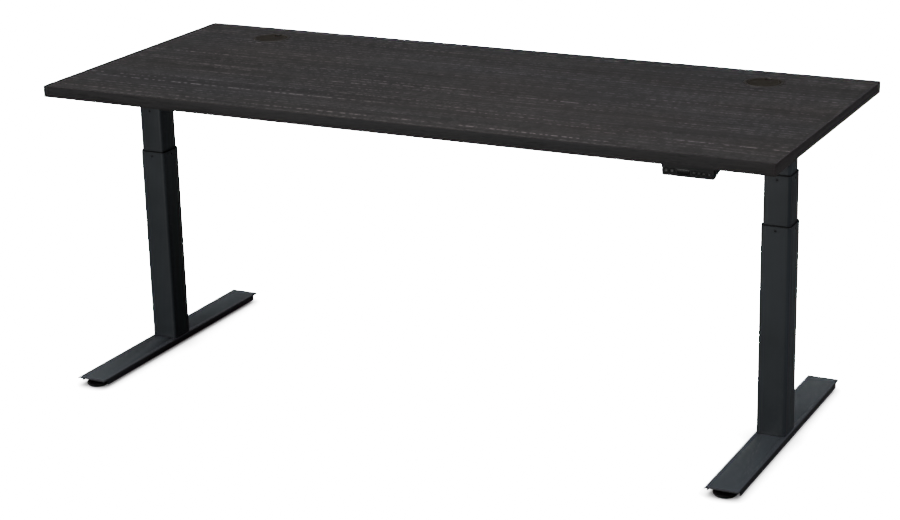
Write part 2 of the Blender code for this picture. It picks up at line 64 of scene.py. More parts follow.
# ------------------------------------------------------------- node helpers
class Tree:
    """Small helper that wires a material's nodes."""

    def __init__(self, name):
        self.mat = bpy.data.materials.new(name)
        self.mat.use_nodes = True
        self.nt = self.mat.node_tree
        self.bsdf = self.nt.nodes["Principled BSDF"]
        self.coord = self.nt.nodes.new("ShaderNodeTexCoord")

    def new(self, kind, **kw):
        n = self.nt.nodes.new(kind)
        for k, v in kw.items():
            setattr(n, k, v)
        return n

    def link(self, a, b):
        self.nt.links.new(a, b)

    def mapped(self, scale, loc=(0, 0, 0), rot=(0, 0, 0)):
        m = self.new("ShaderNodeMapping")
        m.inputs["Scale"].default_value = scale
        m.inputs["Location"].default_value = loc
        m.inputs["Rotation"].default_value = rot
        self.link(self.coord.outputs["Object"], m.inputs["Vector"])
        return m.outputs["Vector"]

    def noise(self, vec, scale=1.0, detail=2.0, rough=0.5, dist=0.0):
        n = self.new("ShaderNodeTexNoise")
        n.inputs["Scale"].default_value = scale
        n.inputs["Detail"].default_value = detail
        n.inputs["Roughness"].default_value = rough
        n.inputs["Distortion"].default_value = dist
        self.link(vec, n.inputs["Vector"])
        return n.outputs["Fac"]

    def ramp(self, fac, stops, interp="LINEAR"):
        r = self.new("ShaderNodeValToRGB")
        r.color_ramp.interpolation = interp
        while len(r.color_ramp.elements) < len(stops):
            r.color_ramp.elements.new(0.5)
        for e, (p, c) in zip(r.color_ramp.elements, stops):
            e.position = p
            e.color = c if len(c) == 4 else (*c, 1)
        self.link(fac, r.inputs["Fac"])
        return r.outputs["Color"]

    def range(self, fac, a, b, lo, hi):
        r = self.new("ShaderNodeMapRange")
        for i, v in zip(("From Min", "From Max", "To Min", "To Max"), (a, b, lo, hi)):
            r.inputs[i].default_value = v
        self.link(fac, r.inputs["Value"])
        return r.outputs["Result"]

    def math(self, op, a, b=None, c=None):
        m = self.new("ShaderNodeMath", operation=op)
        for i, v in enumerate((a, b, c)):
            if v is None:
                continue
            if isinstance(v, (int, float)):
                m.inputs[i].default_value = v
            else:
                self.link(v, m.inputs[i])
        return m.outputs[0]

    def mix(self, fac, a, b, mode="MIX"):
        m = self.new("ShaderNodeMix", data_type="RGBA", blend_type=mode)
        for sock, v in ((m.inputs[0], fac), (m.inputs[6], a), (m.inputs[7], b)):
            if isinstance(v, (int, float)):
                sock.default_value = v
            elif isinstance(v, tuple):
                sock.default_value = v if len(v) == 4 else (*v, 1)
            else:
                self.link(v, sock)
        return m.outputs[2]

    def bump(self, height, strength, distance, normal=None):
        b = self.new("ShaderNodeBump")
        b.inputs["Strength"].default_value = strength
        b.inputs["Distance"].default_value = distance
        self.link(height, b.inputs["Height"])
        if normal is not None:
            self.link(normal, b.inputs["Normal"])
        return b.outputs["Normal"]

    def out(self, colour=None, rough=None, normal=None, **fixed):
        if colour is not None:
            self.link(colour, self.bsdf.inputs["Base Color"])
        if rough is not None:
            self.link(rough, self.bsdf.inputs["Roughness"])
        if normal is not None:
            self.link(normal, self.bsdf.inputs["Normal"])
        for k, v in fixed.items():
            self.bsdf.inputs[k].default_value = v
        return self.mat


# ---------------------------------------------------------------- materials
def scaled(c, k):
    return (c[0] * k, c[1] * k, c[2] * k, 1.0)


def woodgrain(name, along, across, base, gain=1.0, backer=False, flecks=4.1):
    """Dark laminate woodgrain: long streaks along one axis, rows of short
    light flecks, dark pores and slow cool and warm patches.  along and
    across are axis numbers."""
    t = Tree(name)

    def vec(a, b, other=1.0, shift=0.0):
        s = [other] * 3
        s[along], s[across] = a, b
        return t.mapped(tuple(s), (shift, shift * 1.7, shift * 0.6))

    broad = t.noise(vec(0.7, 9.0), 1, 3, 0.55, 0.25)
    bands = t.noise(vec(1.5, 34, shift=3.1), 1, 4, 0.6, 0.35)
    grain = t.noise(vec(9.0, 150, shift=7.7), 1, 4, 0.65, 0.25)
    fine = t.noise(vec(45, 420, shift=17.3), 1, 3, 0.6, 0.1)
    rows = t.noise(vec(1.6, 105, shift=12.3), 1, 3, 0.62, 0.12)
    dashes = t.noise(vec(150, 330, shift=21.9), 1, 1, 0.5, 0.0)
    pores = t.noise(vec(22, 240, shift=5.3), 1, 3, 0.6, 0.1)
    tone = t.noise(vec(1.3, 4.2, shift=31.0), 1, 2, 0.5, 0.4)

    cool = (base[0] * 0.98, base[1] * 1.00, base[2] * 1.05, 1)
    brown = (base[0] * 1.03, base[1] * 0.99, base[2] * 0.97, 1)
    c = t.mix(t.range(tone, 0.36, 0.64, 0, 1), cool, brown)
    level = t.math("ADD", t.range(bands, 0.28, 0.72, 0.66, 1.12),
                   t.range(grain, 0.30, 0.70, -0.26, 0.26))
    level = t.math("ADD", level, t.range(broad, 0.3, 0.7, -0.07, 0.07))
    level = t.math("SUBTRACT", level, t.range(pores, 0.56, 0.74, 0.0, 0.50))
    # rows of short light flecks
    fleck = t.math("MULTIPLY", t.range(rows, 0.50, 0.66, 0.0, 1.0), t.range(dashes, 0.47, 0.62, 0.0, 1.0))
    level = t.math("ADD", level, t.math("MULTIPLY", fleck, flecks * 0.45))
    # thin growth lines, broken into short light dashes
    place = t.new("ShaderNodeSeparateXYZ")
    t.link(t.coord.outputs["Object"], place.inputs[0])
    for gap, half, wander, offset, gain_line in ((0.0215, 0.0014, 0.060, 41.3, 3.2), (0.0082, 0.0007, 0.045, 71.9, 1.2)):
        wobble = t.noise(vec(0.45, 11, shift=offset), 1, 2, 0.5, 0.0)
        v = t.math("ADD", place.outputs[across], t.math("MULTIPLY", wobble, wander))
        line = t.range(t.math("PINGPONG", v, gap / 2), 0.0, half, 1.0, 0.0)
        broken = t.range(t.noise(vec(95, 22, shift=offset + 9), 1, 1, 0.5, 0.0), 0.44, 0.60, 0.0, 1.0)
        stretch = t.range(t.noise(vec(2.6, 40, shift=offset + 17), 1, 2, 0.5, 0.0), 0.40, 0.62, 0.12, 1.0)
        line = t.math("MULTIPLY", t.math("MULTIPLY", line, broken), stretch)
        level = t.math("ADD", level, t.math("MULTIPLY", line, flecks * gain_line))
    level = t.math("ADD", level, t.range(fine, 0.35, 0.65, -0.12, 0.12))
    level = t.math("MAXIMUM", level, 0.22)
    level = t.math("MULTIPLY", level, gain)
    grey = t.new("ShaderNodeCombineColor")
    for i in range(3):
        t.link(level, grey.inputs[i])
    c = t.mix(1.0, c, grey.outputs[0], "MULTIPLY")
    rough = t.range(grain, 0.3, 0.7, 0.52, 0.64)
    height = t.math("SUBTRACT", t.math("MULTIPLY", grain, 0.5), t.range(pores, 0.58, 0.75, 0, 0.6))
    n = t.bump(height, 0.35, 0.00025)
    if backer:
        # the underside carries a plain brown black backing sheet
        speck = t.noise(t.mapped((1, 1, 1)), 420, 3, 0.6)
        back = t.ramp(speck, [(0.30, (0.0150, 0.0135, 0.0125)), (0.70, (0.0235, 0.0210, 0.0195))])
        sep = t.new("ShaderNodeSeparateXYZ")
        t.link(t.coord.outputs["Normal"], sep.inputs[0])
        under = t.math("LESS_THAN", sep.outputs["Z"], -0.5)
        c = t.mix(under, c, back)
    return t.out(c, rough, n, **{"Specular IOR Level": 0.16})


def powder(name, base, gain=1.0, lit_top_colour=None):
    """Satin powder coat with a fine orange peel and faint mottling.  Faces
    that look up may carry a paler, mottled tone: painted light on the upward faces."""
    t = Tree(name)
    peel = t.noise(t.mapped((1, 1, 1)), 1500, 2, 0.5)
    fine = t.noise(t.mapped((1, 1, 1), (3, 5, 7)), 5200, 1, 0.5)
    slow = t.noise(t.mapped((1, 1, 1), (9, 2, 4)), 9, 3, 0.5)
    c = t.ramp(t.math("ADD", t.math("MULTIPLY", slow, 0.6), t.math("MULTIPLY", fine, 0.4)),
               [(0.32, scaled(base, 0.86 * gain)), (0.68, scaled(base, 1.14 * gain))])
    # painted light: faces that look up blend into a paler copy of the coat
    if lit_top_colour:
        top_light_noise = t.noise(t.mapped((40, 9, 40), (5, 1, 2)), 1, 4, 0.6, 0.3)
        painted_top_light = t.ramp(t.math("ADD", t.math("MULTIPLY", top_light_noise, 0.55), t.math("MULTIPLY", fine, 0.45)),
                      [(0.34, scaled(lit_top_colour, 0.92)), (0.66, scaled(lit_top_colour, 1.08))])
        sep = t.new("ShaderNodeSeparateXYZ")
        t.link(t.coord.outputs["Normal"], sep.inputs[0])
        c = t.mix(t.range(sep.outputs["Z"], 0.45, 0.97, 0.0, 1.0), c, painted_top_light)
    rough = t.range(slow, 0.3, 0.7, 0.40, 0.50)
    h = t.math("ADD", peel, t.math("MULTIPLY", fine, 0.4))
    return t.out(c, rough, t.bump(h, 0.22, 0.00012), **{"Specular IOR Level": 0.32, "Metallic": 0.0})


def moulded(name, base, rough=(0.40, 0.52), grain=2600, depth=0.00006, spec=0.5):
    """Moulded plastic with a fine spark eroded texture."""
    t = Tree(name)
    spark = t.noise(t.mapped((1, 1, 1)), grain, 3, 0.6)
    slow = t.noise(t.mapped((1, 1, 1), (4, 1, 8)), 35, 2, 0.5)
    c = t.ramp(slow, [(0.3, scaled(base, 0.88)), (0.7, scaled(base, 1.12))])
    r = t.range(slow, 0.3, 0.7, *rough)
    return t.out(c, r, t.bump(spark, 0.3, depth), **{"Specular IOR Level": spec})


def metal(name, base, rough=(0.28, 0.42), scale=(60, 60, 900), depth=0.00003):
    """Bright steel or brass with drawn marks along one axis."""
    t = Tree(name)
    drawn = t.noise(t.mapped(scale), 1, 3, 0.6)
    slow = t.noise(t.mapped((1, 1, 1)), 40, 3, 0.55)
    c = t.ramp(slow, [(0.3, scaled(base, 0.82)), (0.7, scaled(base, 1.08))])
    r = t.math("ADD", t.range(drawn, 0.3, 0.7, rough[0], rough[1]), t.range(slow, 0.3, 0.7, -0.03, 0.05))
    return t.out(c, r, t.bump(drawn, 0.25, depth), Metallic=1.0)


def threaded(name, base, pitch):
    """Rolled thread: the helix is a wave along Z, turned round the axis."""
    t = Tree(name)
    sep = t.new("ShaderNodeSeparateXYZ")
    t.link(t.coord.outputs["Object"], sep.inputs[0])
    saw = t.math("PINGPONG", t.math("MULTIPLY", sep.outputs["Z"], 1.0), pitch / 2)
    h = t.math("DIVIDE", saw, pitch / 2)
    slow = t.noise(t.mapped((1, 1, 1)), 60, 2, 0.5)
    # the thread roots are darker than the crests: painted shade in the grooves
    c = t.ramp(h, [(0.0, scaled(base, 0.45)), (0.8, scaled(base, 1.0))])
    return t.out(c, t.range(slow, 0.3, 0.7, 0.25, 0.4), t.bump(h, 0.8, 0.0008), Metallic=1.0)


def casting(name, base):
    t = Tree(name)
    grit = t.noise(t.mapped((1, 1, 1)), 900, 4, 0.65)
    slow = t.noise(t.mapped((1, 1, 1), (2, 7, 3)), 30, 3, 0.5)
    c = t.ramp(slow, [(0.3, scaled(base, 0.8)), (0.7, scaled(base, 1.2))])
    return t.out(c, t.range(grit, 0.3, 0.7, 0.45, 0.62), t.bump(grit, 0.5, 0.0003), Metallic=0.7)


def lens_material(name):
    """Smoked window with a faint smear of fingerprints."""
    t = Tree(name)
    smear = t.noise(t.mapped((300, 40, 300)), 1, 3, 0.6)
    c = t.ramp(smear, [(0.3, srgb(6, 6, 8)), (0.7, srgb(11, 11, 13))])
    return t.out(c, t.range(smear, 0.3, 0.7, 0.22, 0.34), **{"Specular IOR Level": 0.22})


BASE_TOP = (0.0158, 0.0147, 0.0151)
LAMINATE = woodgrain("laminate_top", 0, 1, BASE_TOP, backer=True)
BAND_X = woodgrain("edge_band_long", 0, 2, scaled(BASE_TOP, 1.18), flecks=0.25)
BAND_Y = woodgrain("edge_band_end", 1, 2, scaled(BASE_TOP, 1.15), flecks=0.25)
# paler copies of the film for the rounded top edge: painted highlight
BAND_ROUNDING_HIGHLIGHT = woodgrain("edge_band_rounding_painted_highlight", 0, 1, scaled(BASE_TOP, 1.5), flecks=1.2)
BAND_END_ROUNDING_HIGHLIGHT = woodgrain("edge_band_end_rounding_painted_highlight", 1, 0, scaled(BASE_TOP, 2.6), flecks=1.2)
POWDER = powder("charcoal_powder_coat", (0.0148, 0.0180, 0.0218))
# darker copy of the tube coat for the mid tubes: painted shade from the desktop above
POWDER_MID_PAINTED_SHADE = powder("charcoal_powder_coat_mid_painted_shade", (0.0108, 0.0133, 0.0164))
# the feet wear the legs' coat: the darker base on their sides and flanges is painted shade, the pale top tone is
# painted light
POWDER_FOOT_PAINTED_LIGHT_AND_SHADE = powder("charcoal_powder_coat_foot_painted_light_and_shade", (0.0085, 0.0100, 0.0118), 1.0, (0.0420, 0.0470, 0.0545))
NYLON = moulded("black_nylon", (0.0022, 0.0022, 0.0023), (0.5, 0.6), spec=0.12)
RUBBER = moulded("glide_rubber", (0.0040, 0.0040, 0.0041), (0.62, 0.75), 1800, 0.00015, 0.2)
ZINC = metal("zinc_plate", (0.52, 0.52, 0.50))
BRASS = metal("nut_brass", (0.60, 0.42, 0.17))
THREAD = threaded("rolled_thread", (0.40, 0.40, 0.41), 0.004)
CAST = casting("gear_casting", (0.055, 0.056, 0.060))
MOTOR = powder("motor_enamel", (0.012, 0.012, 0.013), 1.0)
GROMMET = moulded("grommet_plastic", (0.0124, 0.0101, 0.0074), (0.40, 0.50), 1700, spec=0.12)
GROMMET_RIM = moulded("grommet_rim_plastic", (0.0170, 0.0155, 0.0140), (0.34, 0.44), 1700, spec=0.22)
CASE = moulded("handset_plastic", (0.0044, 0.0048, 0.0050), (0.42, 0.52), 2300, spec=0.2)
LENS = lens_material("display_window")
KEY = moulded("key_silicone", (0.0066, 0.0069, 0.0071), (0.50, 0.62), 2000, spec=0.3)
MARK = moulded("key_mark_ink", (0.052, 0.054, 0.055), (0.5, 0.6), 2000)
DARK_STEEL = metal("black_oxide_steel", (0.035, 0.035, 0.037), (0.35, 0.5), (500, 500, 500))


def dress(node, mat):
    ob = NODES[node]
    ob.data.materials.clear()
    ob.data.materials.append(mat)


# ------------------------------------------------------------ mesh helpers
def obj_from_bm(name, bm, mats, smooth_angle=32):
    bmesh.ops.recalc_face_normals(bm, faces=bm.faces)
    me = bpy.data.meshes.new(name)
    bm.to_mesh(me)
    bm.free()
    ob = bpy.data.objects.new(name, me)
    bpy.context.scene.collection.objects.link(ob)
    for m in (mats if isinstance(mats, (list, tuple)) else [mats]):
        me.materials.append(m)
    if smooth_angle:
        me.shade_smooth()
        me.set_sharp_from_angle(angle=math.radians(smooth_angle))
    return ob


def bake_modifiers(ob, smooth_angle=32):
    """Replace the object's mesh by the evaluated one."""
    bpy.context.view_layer.update()
    dg = bpy.context.evaluated_depsgraph_get()
    me = bpy.data.meshes.new_from_object(ob.evaluated_get(dg))
    ob.modifiers.clear()
    ob.data = me
    if smooth_angle:
        me.shade_smooth()
        me.set_sharp_from_angle(angle=math.radians(smooth_angle))
    return ob


def add_bevel(ob, width, segs=2, angle=30):
    m = ob.modifiers.new("edge", "BEVEL")
    m.width = width
    m.segments = segs
    m.limit_method = "ANGLE"
    m.angle_limit = math.radians(angle)
    m.harden_normals = False
    return m


def cut(ob, cutters, op="DIFFERENCE"):
    for c in cutters:
        m = ob.modifiers.new("cut", "BOOLEAN")
        m.operation = op
        m.solver = "EXACT"
        m.object = c
    bake_modifiers(ob, None)
    for c in cutters:
        bpy.data.objects.remove(c, do_unlink=True)
    return ob


def rr(w, h, r, segs=8):
    """Rounded rectangle, anticlockwise."""
    r = max(r, 0.00005)
    pts = []
    for sx, sy, a0 in ((1, 1, 0), (-1, 1, 90), (-1, -1, 180), (1, -1, 270)):
        cx, cy = sx * (w / 2 - r), sy * (h / 2 - r)
        for i in range(segs + 1):
            a = math.radians(a0 + 90 * i / segs)
            pts.append((cx + r * math.cos(a), cy + r * math.sin(a)))
    return pts


def swept_ring(name, w, h, r, path, centre, mats, segs=8, pick=None, plane="XY"):
    """Closed ring whose section is a path of (inset, height) points, carried
    round a rounded rectangle."""
    bm = bmesh.new()
    loops = []
    for inset, z in path:
        pts = rr(w - 2 * inset, h - 2 * inset, r - inset, segs)
        if plane == "XY":
            loops.append([bm.verts.new((centre[0] + x, centre[1] + y, z)) for x, y in pts])
        else:       # ring carried round an X-directed tube
            loops.append([bm.verts.new((z, centre[1] + x, centre[2] + y)) for x, y in pts])
    n = len(loops[0])
    for a, b in zip(loops, loops[1:] + loops[:1]):
        for i in range(n):
            j = (i + 1) % n
            f = bm.faces.new((a[i], a[j], b[j], b[i]))
            if pick:
                f.material_index = pick(f)
    return obj_from_bm(name, bm, mats)


def lathe(name, profile, centre, mats, segs=48, axis="Z", closed=False, pick=None):
    """Solid of revolution from (radius, height) points; ends on the axis."""
    bm = bmesh.new()
    rings = []
    for r, z in profile:
        if r < 1e-7:
            rings.append([bm.verts.new((0, 0, z))])
        else:
            rings.append([bm.verts.new((r * math.cos(2 * math.pi * i / segs),
                                        r * math.sin(2 * math.pi * i / segs), z))
                          for i in range(segs)])
    pairs = list(zip(rings, rings[1:])) + ([(rings[-1], rings[0])] if closed else [])
    for k, (a, b) in enumerate(pairs):
        for i in range(segs):
            j = (i + 1) % segs
            if len(a) == 1 and len(b) == 1:
                continue
            if len(a) == 1:
                f = bm.faces.new((a[0], b[i], b[j]))
            elif len(b) == 1:
                f = bm.faces.new((a[i], b[0], a[j]))
            else:
                f = bm.faces.new((a[i], b[i], b[j], a[j]))
            if pick:
                f.material_index = pick[k]
    if axis == "X":
        bmesh.ops.rotate(bm, verts=bm.verts, matrix=Matrix.Rotation(math.pi / 2, 3, "Y"))
    elif axis == "-Y":
        bmesh.ops.rotate(bm, verts=bm.verts, matrix=Matrix.Rotation(math.pi / 2, 3, "X"))
    elif axis == "Y":
        bmesh.ops.rotate(bm, verts=bm.verts, matrix=Matrix.Rotation(-math.pi / 2, 3, "X"))
    bmesh.ops.translate(bm, verts=bm.verts, vec=centre)
    return obj_from_bm(name, bm, mats)


def slab(name, x, y, z, mats, bevel=0.0, segs=2):
    bm = bmesh.new()
    bmesh.ops.create_cube(bm, size=1.0)
    bmesh.ops.scale(bm, vec=(x[1] - x[0], y[1] - y[0], z[1] - z[0]), verts=bm.verts)
    bmesh.ops.translate(bm, vec=((x[0] + x[1]) / 2, (y[0] + y[1]) / 2, (z[0] + z[1]) / 2), verts=bm.verts)
    ob = obj_from_bm(name, bm, mats, None)
    if bevel:
        add_bevel(ob, bevel, segs)
        bake_modifiers(ob)
    return ob


def rod(name, r, centre, lo, hi, axis, mats, segs=32):
    """Plain cylinder along an axis, between two coordinates on that axis."""
    c = list(centre)
    i = "XYZ".index(axis)
    c[i] = 0
    v = [0, 0, 0]
    ob = lathe(name, [(0, hi), (r, hi), (r, lo), (0, lo)], (0, 0, 0), mats, segs)
    me = ob.data
    if axis == "X":
        me.transform(Matrix(((0, 0, 1, 0), (1, 0, 0, 0), (0, 1, 0, 0), (0, 0, 0, 1))))
    elif axis == "Y":
        me.transform(Matrix(((0, 1, 0, 0), (0, 0, 1, 0), (1, 0, 0, 0), (0, 0, 0, 1))))
    me.transform(Matrix.Translation(c))
    return ob


def prism(name, pts, lo, hi, axis, mats):
    """Polygon extruded along an axis.  For Y the points are (x, z), for X
    they are (y, z), for Z they are (x, y)."""
    bm = bmesh.new()
    def at(u, v, d):
        return {"X": (d, u, v), "Y": (u, d, v), "Z": (u, v, d)}[axis]
    a = [bm.verts.new(at(u, v, lo)) for u, v in pts]
    b = [bm.verts.new(at(u, v, hi)) for u, v in pts]
    bm.faces.new(a)
    bm.faces.new(list(reversed(b)))
    n = len(pts)
    for i in range(n):
        j = (i + 1) % n
        bm.faces.new((a[i], b[i], b[j], a[j]))
    return obj_from_bm(name, bm, mats, None)


def join(name, obs):
    """One object from several; their materials are kept."""
    mats, bm = [], bmesh.new()
    for o in obs:
        start = len(bm.faces)
        idx = []
        for m in o.data.materials:
            if m not in mats:
                mats.append(m)
            idx.append(mats.index(m))
        me = o.data.copy()
        me.transform(o.matrix_world)
        bm.from_mesh(me)
        bm.faces.ensure_lookup_table()
        for f in bm.faces[start:]:
            f.material_index = idx[f.material_index] if idx else 0
        bpy.data.meshes.remove(me)
    for o in obs:
        bpy.data.objects.remove(o, do_unlink=True)
    me = bpy.data.meshes.new(name)
    bm.to_mesh(me)
    bm.free()
    for m in mats:
        me.materials.append(m)
    ob = bpy.data.objects.new(name, me)
    bpy.context.scene.collection.objects.link(ob)
    me.shade_smooth()
    me.set_sharp_from_angle(angle=math.radians(32))
    return ob


def settle(ob, body, slot, *replaced):
    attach(ob, body)
    if replaced:
        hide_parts(*replaced)
    return ob


def arc(cx, cy, r, a0, a1, n):
    return [(cx + r * math.cos(math.radians(a0 + (a1 - a0) * i / n)),
             cy + r * math.sin(math.radians(a0 + (a1 - a0) * i / n))) for i in range(n + 1)]


# ------------------------------------------------- plain material carry-overs
for s, _ in SIDES:
    dress(f"foot_bolt_plate_{s}", ZINC)
    dress(f"column_base_plate_{s}", ZINC)
    dress(f"push_tube_{s}", ZINC)
    dress(f"carrier_tube_{s}", ZINC)
    dress(f"base_nut_{s}", BRASS)
    dress(f"carrier_nut_{s}", BRASS)
    dress(f"hollow_spindle_{s}", THREAD)
    dress(f"drive_spindle_{s}", THREAD)
    dress(f"mid_end_guide_{s}", NYLON)
    dress(f"inner_end_guide_{s}", NYLON)

# ----------------------------------------------------------------- desk top
dress("desktop", LAMINATE)

lo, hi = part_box("edge_band")
r = 0.0012
path = ([(0.0, lo.z + r)] + [(0.0, hi.z - r)]
        + [(r - r * math.cos(math.radians(a)), hi.z - r + r * math.sin(math.radians(a)))
           for a in (22.5, 45, 67.5, 90)]
        + [(0.0020, hi.z), (0.0020, lo.z)]
        + [(r - r * math.sin(math.radians(a)), lo.z + r - r * math.cos(math.radians(a)))
           for a in (0, 22.5, 45, 67.5)])


def band_pick(f):
    """The rounded-over top edge takes paler copies of the film: a painted highlight."""
    c = f.calc_center_median()
    end = abs(c.x) > TOP_W / 2 - 0.0021 and abs(c.y - TOP_Y) < TOP_D / 2 - 0.0021
    return (1 if end else 0) + (2 if TOP_Z - 0.0012 < c.z < TOP_Z - 0.0001 else 0)


band = swept_ring("edge_band_roundover", TOP_W, TOP_D, 0.0022, path, (0, TOP_Y), [BAND_X, BAND_Y, BAND_ROUNDING_HIGHLIGHT, BAND_END_ROUNDING_HIGHLIGHT], 5, band_pick)
settle(band, "top", "edge_banding", "edge_band")

# ----------------------------------------------------------------- grommets
for s, sx in SIDES:
    lo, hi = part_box(f"grommet_liner_{s}")
    c = ((lo.x + hi.x) / 2, (lo.y + hi.y) / 2, 0)
    zt, R = hi.z, (hi.x - lo.x) / 2
    ri, sl, sh = 0.0407, 0.0429, 0.0380
    prof = ([(ri, zt - 0.0007), (ri + 0.0002, zt - 0.0003), (ri + 0.0007, zt)] + [(R - 0.0024, zt)]
            + [(R - 0.0024 + 0.0024 * math.sin(math.radians(a)), zt - 0.0016 + 0.0016 * math.cos(math.radians(a)))
               for a in (20, 40, 60, 80)] + [(R, zt - 0.0018), (R, zt - 0.0021), (sl, zt - 0.0021)]
            + [(sl, lo.z + 0.0006), (sl - 0.0006, lo.z), (ri + 0.0004, lo.z), (ri, lo.z + 0.0004),
               (ri, zt - 0.0063), (sh, zt - 0.0059), (sh, zt - 0.0043), (ri, zt - 0.0042)])
    rim = lathe(f"grommet_rim_{s}", prof, c, GROMMET_RIM, 96, closed=True)
    settle(rim, "top", "grommet_plastic", f"grommet_liner_{s}")
    lo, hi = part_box(f"grommet_cap_{s}")
    zc, zb, rc = hi.z, lo.z, 0.0401
    prof = [(0, zc - 0.0010), (0.0140, zc - 0.0010), (0.0320, zc - 0.0008), (0.0340, zc - 0.0004),
            (0.0350, zc), (rc - 0.0008, zc), (rc - 0.0002, zc - 0.0003), (rc, zc - 0.0009),
            (rc, zb), (0.0330, zb), (0.0325, zb + 0.0010), (0, zb + 0.0010)]
    cap = lathe(f"grommet_turn_cap_{s}", prof, c, GROMMET, 96)
    w, y0, r = 0.0093, c[1] + 0.0262, 0.0040
    pts = ([(c[0] - w, c[1] + 0.05)]
           + [(c[0] - w + r - r * math.cos(math.radians(a)), y0 + r - r * math.sin(math.radians(a))) for a in (0, 30, 60, 90)]
           + [(c[0] + w - r + r * math.sin(math.radians(a)), y0 + r - r * math.cos(math.radians(a))) for a in (0, 30, 60, 90)]
           + [(c[0] + w, c[1] + 0.05)])
    cut(cap, [prism("c", pts, zb - 0.01, zc + 0.01, "Z", GROMMET)])
    cap.data.shade_smooth()
    cap.data.set_sharp_from_angle(angle=math.radians(30))
    settle(cap, f"grommet_cap_{s}", "grommet_plastic", f"grommet_cap_{s}")


# ---------------------------------------------------------------- telescopes
def tube(name, node, side, r, body, holes=()):
    lo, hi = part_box(node)
    c = ((lo.x + hi.x) / 2, (lo.y + hi.y) / 2)
    e = 0.0003
    path = [(0, lo.z + e), (0, hi.z - e), (e, hi.z), (WALL - e, hi.z), (WALL, hi.z - e),
            (WALL, lo.z + e), (WALL - e, lo.z), (e, lo.z)]
    # mid tubes take the darker copy of the coat, which is painted shade
    ob = swept_ring(name, side, side, r, path, c, POWDER_MID_PAINTED_SHADE if node.startswith("mid") else POWDER, 8)
    if holes:
        cs = []
        for i, (dx, dy) in enumerate(((0, -1), (0, 1), (-1, 0), (1, 0))):
            z = hi.z - holes[0]
            p = (c[0] + dx * side / 2, c[1] + dy * side / 2, z)
            ax = "X" if dx else "Y"
            k = p[0] if dx else p[1]
            cs.append(rod(f"h{i}", holes[1], p, k - 0.006, k + 0.006, ax, POWDER, 24))
        cut(ob, cs)
        ob.data.shade_smooth()
        ob.data.set_sharp_from_angle(angle=math.radians(30))
    settle(ob, body, "powder_coat", node)
    return ob, c, hi.z


def socket_screw(name, p, out, r=0.0026, depth=0.0007):
    """Low button screw with a hex socket, standing in its hole; out is the
    face's outward direction."""
    hexa = 0.0011
    prof = [(r, -0.0012), (r, -0.0001), (r * 0.86, depth * 0.6), (r * 0.62, depth),
            (hexa * 1.15, depth), (hexa, depth - 0.0002), (hexa, -0.0006), (0, -0.0008)]
    ob = lathe(name, [(0, -0.0012)] + prof, (0, 0, 0), DARK_STEEL, 24)
    z = Vector(out)
    x = Vector((0, 0, 1))
    y = z.cross(x)
    m = Matrix((x, y, z)).transposed().to_4x4()
    ob.data.transform(Matrix.Translation(p) @ m)
    return ob


def collar_piece(name, node, side, inner, r, r_in, body):
    lo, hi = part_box(node)
    c = ((lo.x + hi.x) / 2, (lo.y + hi.y) / 2)
    wall = (side - inner) / 2 - GAP
    e = 0.0005
    zl = hi.z - 0.0030
    path = [(0, zl + e), (0, hi.z - 0.0011), (0.0003, hi.z - 0.0004), (0.0009, hi.z),
            (wall - 0.0008, hi.z), (wall - 0.0001, hi.z - 0.0007), (wall, lo.z + 0.0004),
            (wall - 0.0003, lo.z), (WALL + GAP + 0.0003, lo.z), (WALL + GAP, lo.z + 0.0004),
            (WALL + GAP, zl), (e, zl)]
    ob = swept_ring(name, side, side, r, path, c, NYLON, 8)
    return settle(ob, body, "black_nylon", node)


for s, sx in SIDES:
    for which, side, inner, r, r_in, body in (("outer", OUTER, MID, OUTER_R, MID_R, "base"),
                                              ("mid", MID, INNER, MID_R, INNER_R, f"mid_{s}")):
        ob, c, zt = tube(f"{which}_column_{s}", f"{which}_tube_{s}", side, r, body, (0.0095, 0.0031))
        collar_piece(f"{which}_column_collar_{s}", f"{which}_collar_{s}", side, inner, r, r_in, body)
        screws = []
        for i, (dx, dy) in enumerate(((0, -1), (0, 1), (-1, 0), (1, 0))):
            p = (c[0] + dx * (side / 2 - 0.0012), c[1] + dy * (side / 2 - 0.0012), zt - 0.0095)
            screws.append(socket_screw(f"s{i}", p, (dx, dy, 0)))
        settle(join(f"{which}_collar_screws_{s}", screws), body, "black_nylon")
    tube(f"inner_column_{s}", f"inner_tube_{s}", INNER, INNER_R, "top")

# ---------------------------------------------------------------------- feet
def fix_normals(ob):
    bm = bmesh.new()
    bm.from_mesh(ob.data)
    bmesh.ops.recalc_face_normals(bm, faces=bm.faces)
    bm.to_mesh(ob.data)
    bm.free()
    return ob


